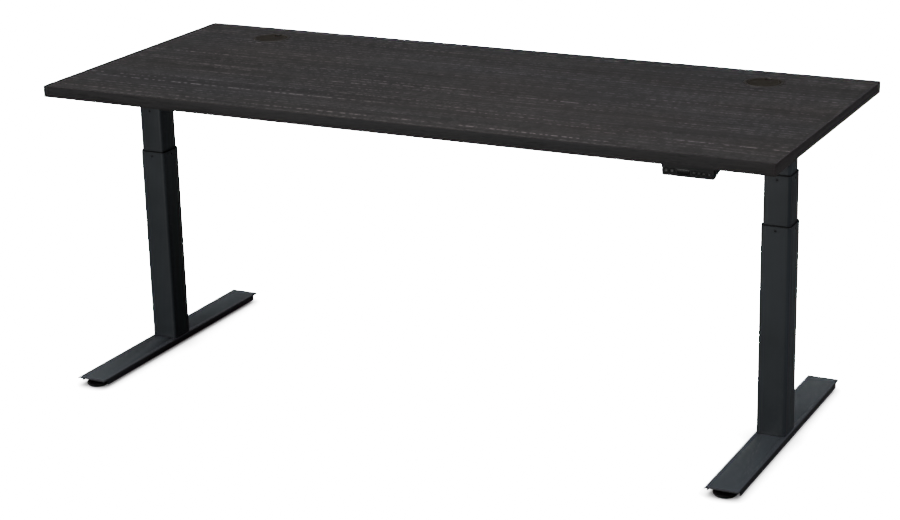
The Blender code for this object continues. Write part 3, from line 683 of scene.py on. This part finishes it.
GLIDE_IN = 0.0300
for s, sx in SIDES:
    cx = sx * COL_X
    w, t, h, ro, ri = FOOT_W / 2, FOOT_T, FOOT_H, 0.0036, 0.0010
    zt = FOOT_Z
    right = [(w - t, -h), (w, -h)] + arc(w - ro, -ro, ro, 0, 90, 6)
    left = [(-u, v) for u, v in reversed(right)]
    under = arc(-(w - t - ri), -t - ri, ri, 180, 90, 3) + arc(w - t - ri, -t - ri, ri, 90, 0, 3)
    pts = [(cx + u, zt + v) for u, v in right + left + under]
    foot = prism(f"foot_folded_plate_{s}", pts, COL_Y - FOOT_L / 2, COL_Y + FOOT_L / 2, "Y", POWDER_FOOT_PAINTED_LIGHT_AND_SHADE)
    cutters = []
    for sy in (-1, 1):
        y = COL_Y + sy * FOOT_L / 2
        # the flange stops short of the plate's end, with a small fillet above
        f = [(0.02, -0.05), (0.02, -t - 0.0010), (-0.0140, -t - 0.0010)]
        f += [(-0.0140 - 0.0040 * math.sin(math.radians(a)), -t - 0.0010 - 0.0040 * (1 - math.cos(math.radians(a))))
              for a in (18, 36, 54, 72, 90)]
        f += [(-0.0182, -h + 0.0012), (-0.0192, -h + 0.0001), (-0.0192, -0.05)]
        cutters.append(fix_normals(prism("n", [(y + sy * u, zt + v) for u, v in f], cx - 0.06, cx + 0.06, "X", POWDER)))
    for dx in (-1, 1):
        for dy in (-1, 1):
            cutters.append(rod("b", 0.0040, (cx + dx * 0.024, COL_Y + dy * 0.024, 0), zt - 0.01, zt + 0.01, "Z", POWDER, 20))
    cut(foot, cutters)
    add_bevel(foot, 0.0004, 2, 40)
    bake_modifiers(foot, 34)
    bosses = []
    for sy in (-1, 1):
        y = COL_Y + sy * (FOOT_L / 2 - GLIDE_IN)
        bosses.append(lathe("boss", [(0.0045, zt - t - 0.0001), (0.0092, zt - t - 0.0001), (0.0080, zt - t - 0.0012),
                                     (0.0075, zt - t - 0.0020), (0.0075, zt - 0.0102), (0.0072, zt - 0.0105),
                                     (0.0047, zt - 0.0105), (0.0045, zt - 0.0102)], (cx, y, 0), POWDER_FOOT_PAINTED_LIGHT_AND_SHADE, 32, closed=True))
    foot = join(f"foot_folded_plate_{s}", [foot] + bosses)
    settle(foot, "base", "powder_coat", f"foot_{s}")
    for e, sy in (("front", -1), ("rear", 1)):
        y = COL_Y + sy * (FOOT_L / 2 - GLIDE_IN)
        bowl = lathe(f"glide_bowl_{e}_{s}",
                     [(0.0, 0.0099), (0.0080, 0.0099), (0.0086, 0.0090), (0.0150, 0.0090), (0.0156, 0.0099), (0.0228, 0.0099),
                      (0.0262, 0.0092), (0.0275, 0.0082), (0.0280, 0.0067), (0.0277, 0.0054), (0.0266, 0.0037),
                      (0.0247, 0.0018), (0.0232, 0.0006), (0.0214, 0.0), (0.0140, 0.0), (0.0134, 0.0006), (0.0, 0.0006)],
                     (cx, y, 0), RUBBER, 72)
        stud = lathe(f"glide_stud_{e}_{s}",
                     [(0, 0.0199), (0.0034, 0.0199), (0.0040, 0.0193)]
                     + [(0.0040 - (0.0005 if i % 2 else 0), 0.0190 - i * 0.0005) for i in range(17)]
                     + [(0.0040, 0.0096), (0, 0.0096)], (cx, y, 0), ZINC, 32)
        g = join(f"levelling_glide_{e}_{s}", [bowl, stud])
        settle(g, f"glide_{e}_{s}", "glide_rubber", f"glide_{e}_{s}")

# ------------------------------------------------------------- under the top
def pan_screw(p, out, r=0.0042, h=0.0022, mat=None, cross=True):
    """Pan head screw with a cross recess."""
    prof = [(r, 0.0), (r, h * 0.35), (r * 0.93, h * 0.62), (r * 0.76, h * 0.86), (r * 0.5, h), (0, h)]
    ob = lathe("screw", [(0, 0.0)] + prof, (0, 0, 0), mat or DARK_STEEL, 24)
    if cross:
        a = slab("x", (-r * 0.55, r * 0.55), (-r * 0.1, r * 0.1), (h * 0.45, h * 1.5), mat or DARK_STEEL)
        b = slab("x", (-r * 0.1, r * 0.1), (-r * 0.55, r * 0.55), (h * 0.45, h * 1.5), mat or DARK_STEEL)
        cut(ob, [a, b])
    z = Vector(out)
    x = Vector((0, 0, 1)) if abs(z.z) < 0.5 else Vector((1, 0, 0))
    y = z.cross(x)
    ob.data.transform(Matrix.Translation(p) @ Matrix((x, y, z)).transposed().to_4x4())
    return ob


FRAME_TOP = TOP_UNDER - GAP
BW, BL, BT, BH = 0.0940, 0.5000, 0.0030, 0.0220
for s, sx in SIDES:
    cx = sx * COL_X
    # side bracket: pressed channel with rolled edges, tapered arms, a notch and screw holes
    w, t, h, ro = BW / 2, BT, BH, 0.0036
    right = [(w - t, -h), (w, -h)] + arc(w - ro, -ro, ro, 0, 90, 5)
    left = [(-u, v) for u, v in reversed(right)]
    ri = 0.0008
    under = arc(-(w - t - ri), -t - ri, ri, 180, 90, 3) + arc(w - t - ri, -t - ri, ri, 90, 0, 3)
    pts = [(cx + u, FRAME_TOP + v) for u, v in right + left + under]
    arm = prism(f"side_arm_{s}", pts, COL_Y - BL / 2, COL_Y + BL / 2, "Y", POWDER)
    cs = []
    x_in = cx - sx * w
    lo, hi = sorted((x_in - 0.01, x_in + 0.01))
    cs.append(slab("n", (lo, hi), (COL_Y - 0.0400, COL_Y + 0.0400), (FRAME_TOP - h - 0.01, FRAME_TOP - t - 0.0009), POWDER))
    for sy in (-1, 1):
        y = COL_Y + sy * BL / 2
        pr = [(y + sy * 0.01, FRAME_TOP - 0.0072), (y - sy * 0.0010, FRAME_TOP - 0.0072), (y - sy * 0.1190, FRAME_TOP - h + 0.0002),
              (y - sy * 0.1230, FRAME_TOP - h - 0.002), (y - sy * 0.1230, FRAME_TOP - 0.06), (y + sy * 0.01, FRAME_TOP - 0.06)]
        cs.append(fix_normals(prism("n", pr, cx - 0.07, cx + 0.07, "X", POWDER)))
        for dy in (0.160, 0.225):
            cs.append(rod("b", 0.0030, (cx, COL_Y + sy * dy, 0), FRAME_TOP - 0.01, FRAME_TOP + 0.01, "Z", POWDER, 20))
    cut(arm, cs)
    add_bevel(arm, 0.0004, 2, 40)
    bake_modifiers(arm, 34)
    settle(arm, "top", "powder_coat", f"side_bracket_{s}")
    screws = [pan_screw((cx, COL_Y + sy * dy, FRAME_TOP - t), (0, 0, -1), 0.0050, 0.0026)
              for sy in (-1, 1) for dy in (0.160, 0.225)]
    settle(join(f"top_screws_{s}", screws), "top", "zinc_steel")

    # gearbox: cast housing with a flanged lid, corner screws and a motor bell
    lo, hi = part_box(f"gearbox_{s}")
    xo, xi = cx + sx * 0.036, cx - sx * 0.0745
    x0, x1 = sorted((xo, xi))
    y0, y1 = COL_Y - 0.038, COL_Y + 0.038
    zb, zt = 0.6910, FRAME_TOP - 0.0038
    body = slab("g", (x0 + 0.0012, x1 - 0.0012), (y0 + 0.0012, y1 - 0.0012), (zb, zt - 0.0055), CAST, 0.0030, 3)
    lid = slab("g", (x0, x1), (y0, y1), (zt - 0.0058, zt), CAST, 0.0010, 2)
    rim = slab("g", (x0, x1), (y0, y1), (zb + 0.0035, zb + 0.0065), CAST, 0.0008, 2)
    b0, b1 = sorted((cx - sx * 0.0520, cx - sx * 0.0750))
    bell = slab("g", (b0, b1), (COL_Y - 0.030, COL_Y + 0.030), (lo.z, FRAME_TOP - 0.0042), CAST, 0.0045, 4)
    bits = [body, lid, rim, bell]
    for dx in (0.10, 0.90):
        for sy in (-1, 1):
            px = x0 + (x1 - x0) * dx
            bits.append(rod("g", 0.0046, (px, COL_Y + sy * 0.0325, 0), zb + 0.0004, zt - 0.004, "Z", CAST, 24))
    for k in range(5):
        px = x0 + 0.020 + k * (x1 - x0 - 0.040) / 4
        for sy in (-1, 1):
            ya, yb = sorted((COL_Y + sy * 0.0362, COL_Y + sy * 0.0379))
            bits.append(slab("g", (px - 0.0010, px + 0.0010), (ya, yb), (zb + 0.0030, zt - 0.0040), CAST, 0.0004, 1))
    xf = b0 if sx > 0 else b1
    for dy in (-1, 1):
        for dz in (-1, 1):
            bits.append(pan_screw((xf + sx * 0.0002, COL_Y + dy * 0.0255, 0.6955 + dz * 0.0175), (-sx, 0, 0), 0.0026, 0.0003, DARK_STEEL, False))
    settle(join(f"gear_housing_{s}", bits), "top", "gear_casting", f"gearbox_{s}")

    # motor: drawn can with rolled ends, end cap with a bearing boss
    L0, L1, L2 = 0.0753, 0.0753 + 0.1150, 0.0753 + 0.1250
    zc, R = 0.6955, 0.0230
    def at(d):
        return cx - sx * d
    prof = [(0, L0), (0.0215, L0), (0.0224, L0 + 0.0003), (R, L0 + 0.0012), (R, L0 + 0.0060), (R - 0.0005, L0 + 0.0066),
            (R - 0.0005, L0 + 0.0120), (R, L0 + 0.0126), (R, L1 - 0.0150), (R - 0.0006, L1 - 0.0144), (R - 0.0006, L1 - 0.0090),
            (R, L1 - 0.0084), (R, L1 - 0.0022), (R - 0.0006, L1 - 0.0008), (R - 0.0020, L1),
            (0.0135, L1), (0.0128, L1 + 0.0006), (0.0110, L1 + 0.0010), (0.0110, L2 - 0.0010), (0.0102, L2), (0, L2)]
    can = lathe("m", prof, (0, 0, 0), MOTOR, 64)
    can.data.transform(Matrix(((0, 0, -sx, cx), (0, 1, 0, COL_Y), (1, 0, 0, zc), (0, 0, 0, 1))))
    fix_normals(can)
    # crimps that hold the end cap
    bits = [can]
    for k in range(8):
        a = math.radians(45 * k + 22.5)
        py, pz = COL_Y + (R - 0.0004) * math.cos(a), zc + (R - 0.0004) * math.sin(a)
        if pz > FRAME_TOP - 0.0045:
            continue
        q = slab("c", (-0.0022, 0.0022), (-0.0030, 0.0030), (-0.0006, 0.0003), MOTOR, 0.0002, 1)
        q.data.transform(Matrix.Translation((at(L1 - 0.0117), py, pz)) @ Matrix.Rotation(a - math.pi / 2, 4, "X"))
        bits.append(q)
    settle(join(f"motor_can_{s}", bits), "top", "motor_can", f"motor_{s}")

for e in ("front", "rear"):
    lo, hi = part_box(f"cross_rail_{e}")
    c = ((lo.x + hi.x) / 2, (lo.y + hi.y) / 2, (lo.z + hi.z) / 2)
    e2 = 0.0003
    path = [(0, lo.x + e2), (0, hi.x - e2), (e2, hi.x), (WALL - e2, hi.x), (WALL, hi.x - e2),
            (WALL, lo.x + e2), (WALL - e2, lo.x), (e2, lo.x)]
    rail = swept_ring(f"rail_tube_{e}", 0.025, 0.025, 0.003, path, c, POWDER, 5, plane="X")
    settle(rail, "top", "powder_coat", f"cross_rail_{e}")

# control box: two shell halves, cooling slots, sockets along its rear side
lo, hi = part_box("control_box")
zs = hi.z - 0.0100
low = slab("b", (lo.x, hi.x), (lo.y, hi.y), (lo.z, zs - 0.0003), CASE, 0.0040, 4)
up = slab("b", (lo.x + 0.0004, hi.x - 0.0004), (lo.y + 0.0004, hi.y - 0.0004), (zs - 0.0006, hi.z), CASE, 0.0010, 2)
cs = []
for k in range(11):
    x = lo.x + 0.030 + k * 0.0075
    cs.append(slab("c", (x, x + 0.0032), (lo.y + 0.018, hi.y - 0.018), (lo.z - 0.002, lo.z + 0.0016), CASE))
for k in range(4):
    x = lo.x + 0.040 + k * 0.030
    cs.append(slab("c", (x, x + 0.0170), (hi.y - 0.0060, hi.y + 0.005), (lo.z + 0.0075, lo.z + 0.0165), CASE))
x = hi.x - 0.060
cs.append(slab("c", (x, x + 0.0300), (hi.y - 0.0080, hi.y + 0.005), (lo.z + 0.0055, lo.z + 0.0190), CASE))
cut(low, cs)
low.data.shade_smooth()
low.data.set_sharp_from_angle(angle=math.radians(30))
bits = [low, up]
for k in range(4):
    x = lo.x + 0.040 + k * 0.030
    for j in range(5):
        bits.append(slab("p", (x + 0.0025 + j * 0.0028, x + 0.0033 + j * 0.0028), (hi.y - 0.0058, hi.y - 0.0014),
                         (lo.z + 0.0110, lo.z + 0.0118), BRASS))
for dx in (0.012, -0.012):
    for dy in (0.012, -0.012):
        px = (lo.x if dx > 0 else hi.x) + dx
        py = (lo.y if dy > 0 else hi.y) + dy
        bits.append(pan_screw((px, py, lo.z + 0.0004), (0, 0, -1), 0.0030, 0.0004, DARK_STEEL, False))
settle(join("control_box_shell", bits), "top", "handset_case", "control_box")

# handset: shallow shell with a full height front and a rising underside
lo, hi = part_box("handset_case")
HX, HW, HH = (lo.x + hi.x) / 2, (hi.x - lo.x) / 2, hi.z - lo.z
HY0, HY1, HZ = lo.y, hi.y, hi.z
KEY_Z, TP = HZ - 0.0112, 0.0012


def shell_outline(k, hh):
    """Section across the shell: drawn in by k, hh high."""
    hw = HW - k
    lc = [(-hw + TP * 0.9, -hh + 0.0030), (-hw + TP + 0.0003, -hh + 0.0015), (-hw + TP + 0.0010, -hh + 0.0005),
          (-hw + TP + 0.0026, -hh)]
    return [(hw, 0.0), (-hw, 0.0)] + lc + [(-u, v) for u, v in reversed(lc)]


bm = bmesh.new()
rows = []
for dy, k, hh in ((0.0, 0.0018, HH - 0.0016), (0.0002, 0.0009, HH - 0.0008), (0.0008, 0.0003, HH - 0.0003), (0.0018, 0.0, HH),
                  (0.0082, 0.0, HH), (0.0120, 0.0001, 0.0212), (0.0300, 0.0003, 0.0162), (0.0460, 0.0006, 0.0118),
                  (0.0500, 0.0008, 0.0108), (0.0540, 0.0010, 0.0106), (0.0625, 0.0016, 0.0106), (0.0640, 0.0032, 0.0092)):
    rows.append([bm.verts.new((HX + u, HY0 + dy, HZ + v)) for u, v in shell_outline(k, hh)])
n = len(rows[0])
for a, b in zip(rows, rows[1:]):
    for i in range(n):
        j = (i + 1) % n
        bm.faces.new((a[i], a[j], b[j], b[i]))
bm.faces.new(rows[0])
bm.faces.new(list(reversed(rows[-1])))
case = obj_from_bm("handset_shell", bm, CASE, None)
fix_normals(case)
KEYS = [("key_up", 0.0052), ("key_down", 0.0052), ("key_preset_1", 0.0040), ("key_preset_2", 0.0040),
        ("key_preset_3", 0.0040), ("key_memory", 0.0040)]
cs, where = [], {}
for name, r in KEYS:
    a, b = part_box(name)
    kx = (a.x + b.x) / 2
    where[name] = (kx, a.y, b.y, (a.z + b.z) / 2)
    cs.append(rod("w", r + 0.0004, (kx, 0, KEY_Z), HY0 - 0.01, HY0 + 0.0060, "Y", CASE, 32))
    cs.append(lathe("w", [(0, 0.01), (r + 0.0012, 0.01), (r + 0.0012, 0.0), (r + 0.0004, -0.0006), (0, -0.0006)],
                    (0, 0, 0), CASE, 32))
    cs[-1].data.transform(Matrix.Translation((kx, HY0, KEY_Z)) @ Matrix.Rotation(math.pi / 2, 4, "X"))
    fix_normals(cs[-1])
a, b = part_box("display_lens")
cs.append(slab("w", (a.x - 0.0003, b.x + 0.0003), (HY0 - 0.01, HY0 + 0.0020), (a.z - 0.0003, b.z + 0.0003), CASE))
# two fixing screws through the thin rear part, and a shallow finger groove behind the front
for dx in (-0.038, 0.038):
    cs.append(rod("w", 0.0042, (HX + dx, HY0 + 0.0570, 0), HZ - 0.0300, HZ - 0.0070, "Z", CASE, 32))
cs.append(slab("w", (HX - 0.0500, HX + 0.0500), (HY0 + 0.0098, HY0 + 0.0106), (HZ - 0.0300, HZ - 0.0209), CASE))
cut(case, cs)
case.data.shade_smooth()
case.data.set_sharp_from_angle(angle=math.radians(30))
case = join("handset_shell", [case] + [pan_screw((HX + dx, HY0 + 0.0570, HZ - 0.0072), (0, 0, -1), 0.0036, 0.0020)
                                      for dx in (-0.038, 0.038)])
settle(case, "top", "handset_case", "handset_case")

lens = slab("display_window", (a.x, b.x), (a.y, b.y), (a.z, b.z), LENS, 0.0004, 3)
settle(lens, "top", "display_lens", "display_lens")

for name, r in KEYS:
    kx, ya, yb, kz = where[name]
    prof = [(0, 0.0), (r * 0.55, 0.00008), (r - 0.0009, 0.00022), (r - 0.0004, 0.0005), (r - 0.0001, 0.0009), (r, 0.0014),
            (r, yb - ya - 0.0003), (r - 0.0003, yb - ya), (0, yb - ya)]
    cap = lathe("k", prof, (0, 0, 0), KEY, 40)
    cap.data.transform(Matrix.Translation((kx, ya, kz)) @ Matrix(((1, 0, 0, 0), (0, 0, 1, 0), (0, -1, 0, 0), (0, 0, 0, 1))))
    fix_normals(cap)
    bits = [cap]
    yf, yg = ya - 0.00014, ya + 0.0004
    if name in ("key_up", "key_down"):
        d = 1 if name == "key_up" else -1
        k = 0.0021
        tri = [(kx - k, kz - d * k * 0.55), (kx + k, kz - d * k * 0.55), (kx + k * 0.12, kz + d * k * 0.80), (kx - k * 0.12, kz + d * k * 0.80)]
        if d < 0:
            tri.reverse()
        bits.append(fix_normals(prism("t", tri, yf, yg, "Y", MARK)))
    else:
        count = {"key_preset_1": 1, "key_preset_2": 2, "key_preset_3": 3, "key_memory": 0}[name]
        if count:
            for i in range(count):
                px = kx + (i - (count - 1) / 2) * 0.0013
                bits.append(rod("d", 0.00042, (px, 0, kz), yf, yg, "Y", MARK, 16))
        else:
            bits.append(slab("d", (kx - 0.0014, kx + 0.0014), (yf, yg), (kz - 0.0003, kz + 0.0003), MARK))
            bits.append(slab("d", (kx - 0.0003, kx + 0.0003), (yf, yg), (kz - 0.0014, kz + 0.0014), MARK))
    settle(join(f"{name}_cap", bits), name, "key_rubber", name)

# ---------------------------------------------------------------- the studio
def camera_or_not(nt, seen, other, out):
    """Joins two shaders: one for what is looked at directly, one for the
    light that the same surface throws back at the desk."""
    path = nt.nodes.new("ShaderNodeLightPath")
    mix = nt.nodes.new("ShaderNodeMixShader")
    nt.links.new(path.outputs["Is Camera Ray"], mix.inputs[0])
    nt.links.new(other, mix.inputs[1])
    nt.links.new(seen, mix.inputs[2])
    nt.links.new(mix.outputs[0], out)


FLOOR_SEEN, FLOOR_BOUNCE = 17.0, 0.10
floor_mat = bpy.data.materials.new("studio_floor")
floor_mat.use_nodes = True
nt = floor_mat.node_tree
nt.nodes.clear()
out = nt.nodes.new("ShaderNodeOutputMaterial")
d1, d2 = nt.nodes.new("ShaderNodeEmission"), nt.nodes.new("ShaderNodeBsdfDiffuse")
d2.inputs["Color"].default_value = (FLOOR_BOUNCE, FLOOR_BOUNCE, FLOOR_BOUNCE, 1)
shade = nt.nodes.new("ShaderNodeMixShader")
# partly lit and partly glowing, so it stays evenly white
d3, both = nt.nodes.new("ShaderNodeBsdfDiffuse"), nt.nodes.new("ShaderNodeAddShader")
nt.links.new(d1.outputs[0], both.inputs[0])
nt.links.new(d3.outputs[0], both.inputs[1])
camera_or_not(nt, both.outputs[0], d2.outputs[0], shade.inputs[1])
# looked at from below, the floor lets the desk's underside show
geo, clear = nt.nodes.new("ShaderNodeNewGeometry"), nt.nodes.new("ShaderNodeBsdfTransparent")
nt.links.new(geo.outputs["Backfacing"], shade.inputs[0])
nt.links.new(clear.outputs[0], shade.inputs[2])
nt.links.new(shade.outputs[0], out.inputs["Surface"])
# soft contact shading close to the feet
ao, grey = nt.nodes.new("ShaderNodeAmbientOcclusion"), nt.nodes.new("ShaderNodeMapRange")
ao.inputs["Distance"].default_value = 0.055
ao.samples = 16
for i, v in zip(("From Min", "From Max", "To Min", "To Max"), (0.0, 0.90, 0.25, FLOOR_SEEN)):
    grey.inputs[i].default_value = v
deep = nt.nodes.new("ShaderNodeMath")
deep.operation = "POWER"
deep.inputs[1].default_value = 3.2
nt.links.new(ao.outputs["AO"], deep.inputs[0])
nt.links.new(deep.outputs[0], grey.inputs["Value"])
for share, socket in ((0.60, d1.inputs["Strength"]), (0.85, d3.inputs["Color"])):
    part = nt.nodes.new("ShaderNodeMath")
    part.operation = "MULTIPLY"
    part.inputs[1].default_value = share
    nt.links.new(grey.outputs["Result"], part.inputs[0])
    nt.links.new(part.outputs[0], socket)
bm = bmesh.new()
bmesh.ops.create_grid(bm, x_segments=1, y_segments=1, size=30)
floor = obj_from_bm("studio_floor", bm, floor_mat, None)

world = bpy.data.worlds.new("studio")
world.use_nodes = True
nt = world.node_tree
nt.nodes.clear()
out = nt.nodes.new("ShaderNodeOutputWorld")
b1, b2 = nt.nodes.new("ShaderNodeBackground"), nt.nodes.new("ShaderNodeBackground")
b1.inputs["Strength"].default_value = 10.5
b1.inputs["Color"].default_value = (1, 1, 1, 1)
b2.inputs["Strength"].default_value = 0.10
b2.inputs["Color"].default_value = (1, 1, 1, 1)
camera_or_not(nt, b1.outputs[0], b2.outputs[0], out.inputs["Surface"])
bpy.context.scene.world = world


def area(name, loc, target, size, power, colour=(1, 1, 1)):
    l = bpy.data.lights.new(name, "AREA")
    l.shape = "RECTANGLE"
    l.size, l.size_y = size
    l.energy = power
    l.color = colour
    ob = bpy.data.objects.new(name, l)
    bpy.context.scene.collection.objects.link(ob)
    ob.location = loc
    ob.rotation_euler = (Vector(target) - Vector(loc)).to_track_quat("-Z", "Y").to_euler()
    return ob


area("overhead", (-0.9, 0.3, 4.2), (-0.3, 0.1, 0), (4.0, 3.0), 145)
area("right_key", (4.2, -0.6, 3.4), (0.4, 0, 0.4), (1.6, 1.6), 200)
rear = area("rear_fill", (-0.8, 5.2, 1.3), (0, 0, 0.35), (2.6, 1.8), 230)
rear.visible_glossy = False
area("left_fill", (-5.0, 0.4, 1.4), (0, 0, 0.35), (2.2, 1.8), 110)
low = area("low_fill", (0.0, 0.0, 0.03), (0.0, 0.001, 1.0), (0.9, 0.5), 4.5)
low.data.spread = math.radians(110)
low.visible_camera = False
area("front_fill", (-1.4, -5.3, 1.30), (0, 0, 0.3), (3.0, 1.6), 212)

# ------------------------------------------------------------------- camera
rvec = (0.31866, 0.46419, 0.05193)
cam_at = Vector((2.25953, -4.47837 + TOP_Y, 1.96957))
focal_px = 2182.17
cam = bpy.data.cameras.new("camera")
cam.sensor_width = 36.0
cam.lens = focal_px / 900 * 36.0
cam.clip_end = 200
cam_ob = bpy.data.objects.new("camera", cam)
bpy.context.scene.collection.objects.link(cam_ob)
ang = Vector(rvec).length
rot = Matrix.Rotation(ang, 3, Vector(rvec).normalized())
B = Matrix(((1, 0, 0), (0, 0, -1), (0, 1, 0)))
world_to_cv = rot @ B
cam_rot = world_to_cv.transposed() @ Matrix(((1, 0, 0), (0, -1, 0), (0, 0, -1)))
cam_ob.matrix_world = Matrix.Translation(cam_at) @ cam_rot.to_4x4()
bpy.context.scene.camera = cam_ob
